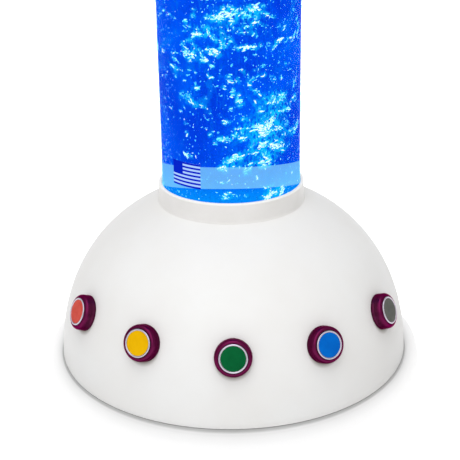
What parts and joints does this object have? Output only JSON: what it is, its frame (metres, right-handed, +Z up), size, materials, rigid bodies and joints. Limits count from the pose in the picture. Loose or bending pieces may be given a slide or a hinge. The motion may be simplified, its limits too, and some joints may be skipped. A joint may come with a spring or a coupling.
{
  "type": "interactive bubble tube",
  "caption": "Tall clear bubble tube, lit from below, in a white dome base with sprung push buttons in machined bezels round its front.",
  "frame": {"origin": "on the floor, under the middle of the tube", "axes": "+Z up along the tube, -Y out through the middle (green) button, +X to the blue button's side"},
  "size_m": [0.3956, 0.3951, 1.2192],
  "materials": {
    "shell_white": "satin white moulded shell",
    "collar_white": "satin warm white",
    "clear_acrylic": "clear polished acrylic, lit blue",
    "grey_plastic": "matte grey",
    "black_plastic": "matte black",
    "black_rubber": "matte black rubber",
    "clear_hose": "milky flexible hose",
    "board_green": "green solder mask",
    "aluminium": "machined",
    "purple_anodised": "purple anodised, satin",
    "steel": "zinc plated",
    "disc_red": "coral red disc",
    "disc_yellow": "yellow disc",
    "disc_green": "dark green disc",
    "disc_blue": "blue disc",
    "disc_grey": "grey disc"
  },
  "bodies": {
    "base": {"dome_shell": "shell_white", "tube_collar": "collar_white", "collar_lock_ring": "collar_white", "bubble_tube": "clear_acrylic", "tube_floor": "clear_acrylic", "base_plate": "grey_plastic", "rubber_foot_1": "black_rubber", "rubber_foot_2": "black_rubber", "rubber_foot_3": "black_rubber", "rubber_foot_4": "black_rubber", "tube_socket": "grey_plastic", "socket_post_1": "aluminium", "socket_post_2": "aluminium", "socket_post_3": "aluminium", "heat_spreader": "aluminium", "led_board": "board_green", "air_inlet": "collar_white", "air_diffuser": "collar_white", "drain_fitting": "collar_white", "air_pump": "black_plastic", "airline_lower": "clear_hose", "check_valve": "grey_plastic", "airline_upper": "clear_hose", "drain_hose": "clear_hose", "control_box": "black_plastic", "socket_panel": "grey_plastic", "power_inlet": "black_plastic", "wire_harness": "black_plastic", "red_bezel": "purple_anodised", "red_spring": "steel", "red_nut": "steel", "red_switch": "black_plastic", "yellow_bezel": "purple_anodised", "yellow_spring": "steel", "yellow_nut": "steel", "yellow_switch": "black_plastic", "green_bezel": "purple_anodised", "green_spring": "steel", "green_nut": "steel", "green_switch": "black_plastic", "blue_bezel": "purple_anodised", "blue_spring": "steel", "blue_nut": "steel", "blue_switch": "black_plastic", "grey_bezel": "purple_anodised", "grey_spring": "steel", "grey_nut": "steel", "grey_switch": "black_plastic"},
    "red_button": {"red_button_cap": "aluminium", "red_insert": "disc_red"},
    "yellow_button": {"yellow_button_cap": "aluminium", "yellow_insert": "disc_yellow"},
    "green_button": {"green_button_cap": "aluminium", "green_insert": "disc_green"},
    "blue_button": {"blue_button_cap": "aluminium", "blue_insert": "disc_blue"},
    "grey_button": {"grey_button_cap": "aluminium", "grey_insert": "disc_grey"},
    "cap": {"top_cap": "collar_white"},
    "plug": {"drain_plug": "black_rubber"}
  },
  "joints": [
    {"name": "red_press", "type": "slide", "parent": "base", "child": "red_button", "axis": [0.7969, 0.4601, -0.3916], "range_m": [0, 0.002], "stiffness_N_per_m": 900, "springref_m": -0.002, "deforming": ["red_spring"]},
    {"name": "yellow_press", "type": "slide", "parent": "base", "child": "yellow_button", "axis": [0.4614, 0.7992, -0.3852], "range_m": [0, 0.002], "stiffness_N_per_m": 900, "springref_m": -0.002, "deforming": ["yellow_spring"]},
    {"name": "green_press", "type": "slide", "parent": "base", "child": "green_button", "axis": [0, 0.9309, -0.3653], "range_m": [0, 0.002], "stiffness_N_per_m": 900, "springref_m": -0.002, "deforming": ["green_spring"]},
    {"name": "blue_press", "type": "slide", "parent": "base", "child": "blue_button", "axis": [-0.4654, 0.8062, -0.3653], "range_m": [0, 0.002], "stiffness_N_per_m": 900, "springref_m": -0.002, "deforming": ["blue_spring"]},
    {"name": "grey_press", "type": "slide", "parent": "base", "child": "grey_button", "axis": [-0.8021, 0.4631, -0.3771], "range_m": [0, 0.002], "stiffness_N_per_m": 900, "springref_m": -0.002, "deforming": ["grey_spring"]},
    {"name": "cap_lift", "type": "slide", "parent": "base", "child": "cap", "axis": [0, 0, 1], "range_m": [0, 0.2]},
    {"name": "plug_pull", "type": "slide", "parent": "base", "child": "plug", "axis": [0, 1, 0], "range_m": [0, 0.04]}
  ]
}
